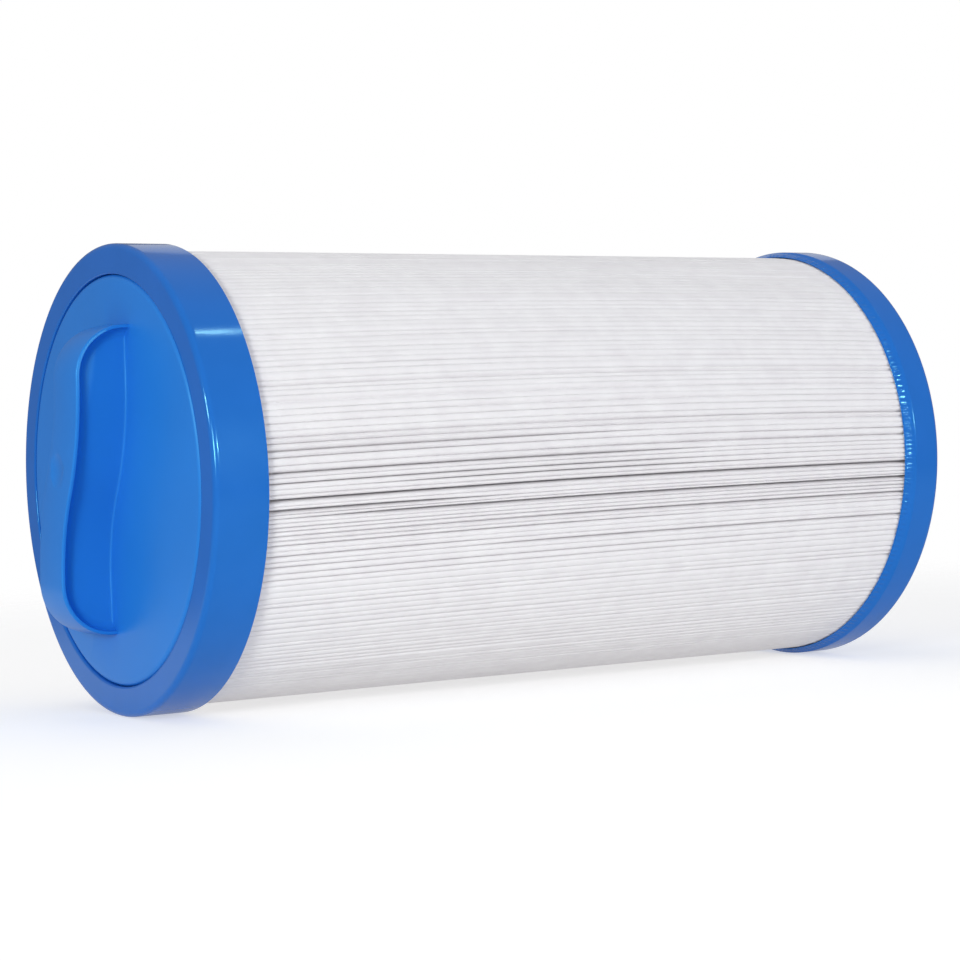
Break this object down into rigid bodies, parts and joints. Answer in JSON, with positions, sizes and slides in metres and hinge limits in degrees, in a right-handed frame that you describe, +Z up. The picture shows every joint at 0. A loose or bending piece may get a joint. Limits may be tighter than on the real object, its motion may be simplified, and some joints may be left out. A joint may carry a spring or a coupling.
{
  "type": "filter cartridge",
  "caption": "Cylindrical pleated fleece filter cartridge with cast end rings, an S-shaped grip moulded on one end and a threaded hollow nipple on the other, for a spa or pool filter.",
  "frame": {"origin": "on the floor under the middle of the cartridge's overall length, with the cartridge lying on its two end rings", "axes": "+X along the cartridge's axis towards the threaded nipple, -X towards the handle, +Z up"},
  "size_m": [0.2726, 0.1254, 0.1254],
  "materials": {
    "moulded_blue": "smooth moulded ABS, semi-gloss",
    "cast_blue": "cast polyurethane, semi-gloss",
    "fleece": "spun-bonded polyester fleece, matt",
    "core_white": "moulded ABS, satin"
  },
  "bodies": {
    "root": {"handle_insert": "moulded_blue", "top_end_ring": "cast_blue", "pleated_media": "fleece", "core_tube": "core_white", "bottom_end_ring": "cast_blue", "threaded_fitting": "moulded_blue"}
  },
  "joints": []
}
